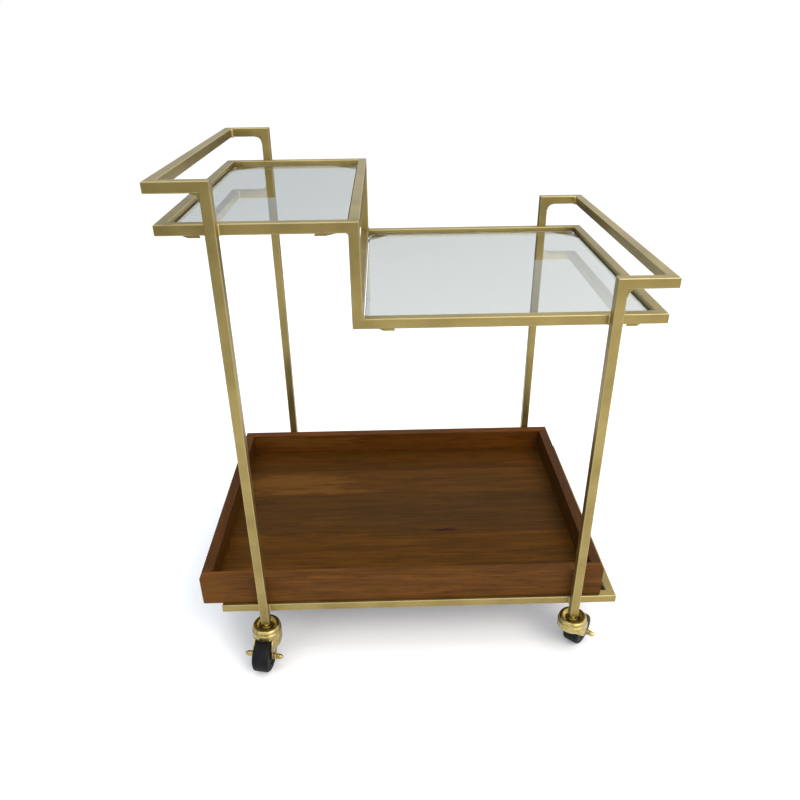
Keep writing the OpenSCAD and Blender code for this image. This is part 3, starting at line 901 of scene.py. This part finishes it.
def acorn_nut(name, way):
    """A nut on the axle, pointing along +X or -X."""
    select_only()
    bpy.ops.mesh.primitive_cylinder_add(vertices=6, radius=NUT_FLATS / 2 / cos(pi / 6) * MM,
                                        depth=NUT_HEX * MM, location=(0, 0, NUT_HEX / 2 * MM))
    settle()
    body = named(name)
    edit(body)
    bpy.ops.mesh.bevel(offset=0.5 * MM, segments=2, affect="EDGES")
    cap_outline = [(0, 5.3), (4.2, 5.3), (4.2, 5.7), (4.65, 6.3), (4.9, 7.4), (5, 8.8), (4.95, 10.2),
                   (4.8, 11.6), (4.5, 13), (4.05, 14.3), (3.4, 15.6), (2.6, 16.7), (1.7, 17.35),
                   (0.8, 17.65), (0, 17.7)]
    cap = lathe("cap", cap_outline, 40)
    select_only(body, cap)
    bpy.ops.object.join()
    place = Vector((way * (ARM_INNER + ARM_THICK) * MM, AXLE.y, AXLE.z))
    return moved(body, Matrix.Translation(place) @ Matrix.Rotation(way * pi / 2, 4, "Y"))


nuts = [acorn_nut("nut_right", 1), acorn_nut("nut_left", -1)]
select_only(*nuts)
bpy.ops.object.join()
nut_pair = named("nut_model")

half_tread = [(6, 15.25), (9, 15.25), (9.6, 14.4), (10.4, 13.65), (15.6, 13.65), (16.4, 14.3)]
half_tread += [(17, 15.15)] + arc(24.95, 10.25, 5, 90, 0, 12) + [(29.9, 8), (29.85, 0.8), (29.98, 0.35)]
wheel_outline = half_tread + [(radius, -side) for radius, side in reversed(half_tread)]
wheel = lathe("wheel_model", wheel_outline, 96)
moved(wheel, Matrix.Translation(AXLE) @ Matrix.Rotation(pi / 2, 4, "Y"))
print("wheel", [round(side / MM, 1) for side in wheel.dimensions], "mm")

# %% [markdown]
# ## Setting out the casters
# The joints of the CAD model say where each caster stands: its swivel axis gives the place,
# and the axle's direction gives how far the caster is turned.


# %% Copy the casters to the legs
def caster_place(corner):
    """The matrix from the caster as modelled to the one at this corner."""
    swivel, roll = JOINTS["swivel_" + corner], JOINTS["roll_" + corner]
    mirror = -1 if corner.startswith("back") else 1
    turned = atan2(mirror * roll["axis"][1], roll["axis"][0])
    place = Vector((swivel["pos_m"][0], swivel["pos_m"][1], 0))
    return (Matrix.Translation(place) @ Matrix.Diagonal((1, mirror, 1, 1))
            @ Matrix.Rotation(turned, 4, "Z"))


for corner in ("front_left", "front_right", "back_left", "back_right"):
    place = caster_place(corner)
    finish(copied(fork, f"caster_fork_{corner}", place), BRASS, f"caster_{corner}",
           "polished_brass", f"fork_{corner}", smooth_angle=38)
    finish(copied(nut_pair, f"caster_nuts_{corner}", place), BRASS, f"caster_{corner}",
           "polished_brass", f"axle_nuts_{corner}", smooth_angle=38)
    finish(copied(wheel, f"caster_wheel_{corner}", place), RUBBER, f"wheel_{corner}",
           "black_rubber", f"wheel_{corner}", smooth_angle=38)
    print(corner, "at", [round(part, 3) for part in place.translation])
for model in (fork, nut_pair, wheel):
    bpy.data.objects.remove(model)

# %% [markdown]
# ## Parts that stay as the CAD drew them
# Stems, balls, axles, bushes, plugs and pads are small plain shapes that mostly hide inside
# others. Their CAD meshes stay, and only take a material.

# %% Give the CAD parts their materials
KEPT = {"caster_stems": BRASS, "swivel_balls": STEEL, "leg_inserts": NYLON, "glass_pads": CLEAR_PAD}
for corner in ("front_left", "front_right", "back_left", "back_right"):
    KEPT["axle_" + corner] = STEEL
    KEPT["wheel_bush_" + corner] = STEEL
for node, material in KEPT.items():
    kept = frame["nodes"][node]
    for index in range(len(kept.material_slots)):
        kept.material_slots[index].link = "OBJECT"
        kept.material_slots[index].material = material
print("CAD parts kept:", len(KEPT))

# %% [markdown]
# ## Floor, lights and room
# The cart stands on a plain white floor. Brass paint shows what it mirrors, so the room
# matters as much as the lamps. Two floors are mixed in one material: the view, direct or
# through the glass, sees white everywhere, and there the floor also glows faintly, a painted
# light that lifts its shadows; the brass mirrors a sheet of pale paper that ends a few metres
# out on a dark floor, which keeps the fronts of the high tubes from going pale. A broad soft
# lamp stands to the right, a weaker one at the left and one overhead, and the grey room round
# them is brighter on its right side than on its left.

# %% Light it
scene = bpy.context.scene
scene.view_settings.view_transform = "Standard"

bpy.ops.mesh.primitive_plane_add(size=30, location=(0, 0, 0))
floor = named("floor")
floor_paint, floor_tree, floor_output = new_material("pale_floor")
floor_place = add_node(floor_tree, "ShaderNodeTexCoord").outputs["Object"]
PAPER_MIDDLE = (1.2, -0.9, 0.0)
PAPER_ENDS, DARK_FROM = 2.0, 3.2
from_paper = add_node(floor_tree, "ShaderNodeVectorMath", {0: floor_place, 1: PAPER_MIDDLE},
                      operation="DISTANCE").outputs["Value"]
beyond = add_node(floor_tree, "ShaderNodeMapRange",
                  {"Value": from_paper, "From Min": PAPER_ENDS, "From Max": DARK_FROM}).outputs["Result"]
mirrored_tone = mixed(floor_tree, beyond, linear("#EAEAEC"), linear("#48484C"))
path = add_node(floor_tree, "ShaderNodeLightPath").outputs
faced = add_node(floor_tree, "ShaderNodeMath",
                 {0: path["Is Camera Ray"], 1: path["Is Transmission Ray"]},
                 operation="MAXIMUM").outputs[0]
floor_tone = mixed(floor_tree, faced, mirrored_tone, linear("#FAFCFF"))
# Seen directly or through the glass, the floor glows faintly though it is no lamp: painted light that
# keeps it white and lifts its shadows.
painted_floor_glow = mixed(floor_tree, faced, linear("#000000"), linear("#565960"))
floor_shader = add_node(floor_tree, "ShaderNodeBsdfPrincipled",
                        {"Base Color": floor_tone, "Roughness": 0.9, "Emission Color": painted_floor_glow,
                         "Emission Strength": 1.0})
floor_tree.links.new(floor_shader.outputs[0], floor_output.inputs["Surface"])
floor.data.materials.append(floor_paint)


def area_lamp(name, place, target, size, power, colour):
    lamp = bpy.data.lights.new(name, "AREA")
    lamp.shape = "RECTANGLE"
    lamp.size, lamp.size_y = size
    lamp.energy = power
    lamp.color = linear(colour)[:3]
    holder = bpy.data.objects.new(name, lamp)
    holder.location = place
    holder.rotation_euler = (Vector(target) - Vector(place)).to_track_quat("-Z", "Y").to_euler()
    scene.collection.objects.link(holder)


area_lamp("key", (1.6, -2.0, 2.6), (0, 0, 0.4), (1.8, 1.8), 45, "#FFF6E6")
area_lamp("fill", (-2.2, -1.6, 1.8), (0, 0, 0.4), (1.6, 1.6), 12, "#F4F7FF")
area_lamp("top", (0, 0.3, 3.2), (0, 0, 0.4), (2.6, 2.0), 28, "#FFFFFF")

world = bpy.data.worlds.new("room")
scene.world = world
world.use_nodes = True
room_tree = world.node_tree
room_tree.nodes.clear()
room_way = add_node(room_tree, "ShaderNodeTexCoord").outputs["Generated"]
BRIGHT_SIDE = (0.85, -0.4, 0.35)
aspect = add_node(room_tree, "ShaderNodeVectorMath", {0: room_way, 1: BRIGHT_SIDE},
                  operation="DOT_PRODUCT").outputs["Value"]
aspect = add_node(room_tree, "ShaderNodeMapRange",
                  {"Value": aspect, "From Min": -1.0, "From Max": 1.0}).outputs[0]
room_grey = ramp(room_tree, aspect, [(0.0, "#8C9094"), (0.3, "#B4B7B9"), (0.5, "#D2D3D4"),
                                     (1.0, "#FFFDFA")])
room_light = add_node(room_tree, "ShaderNodeBackground", {"Color": room_grey, "Strength": 1.35})
seen = add_node(room_tree, "ShaderNodeBackground", {"Color": linear("#FFFFFF"), "Strength": 1.0})
straight = add_node(room_tree, "ShaderNodeLightPath").outputs["Is Camera Ray"]
room_mix = add_node(room_tree, "ShaderNodeMixShader",
                    {0: straight, 1: room_light.outputs[0], 2: seen.outputs[0]})
room_output = add_node(room_tree, "ShaderNodeOutputWorld")
room_tree.links.new(room_mix.outputs[0], room_output.inputs["Surface"])
print("lamps:", len(bpy.data.lights))
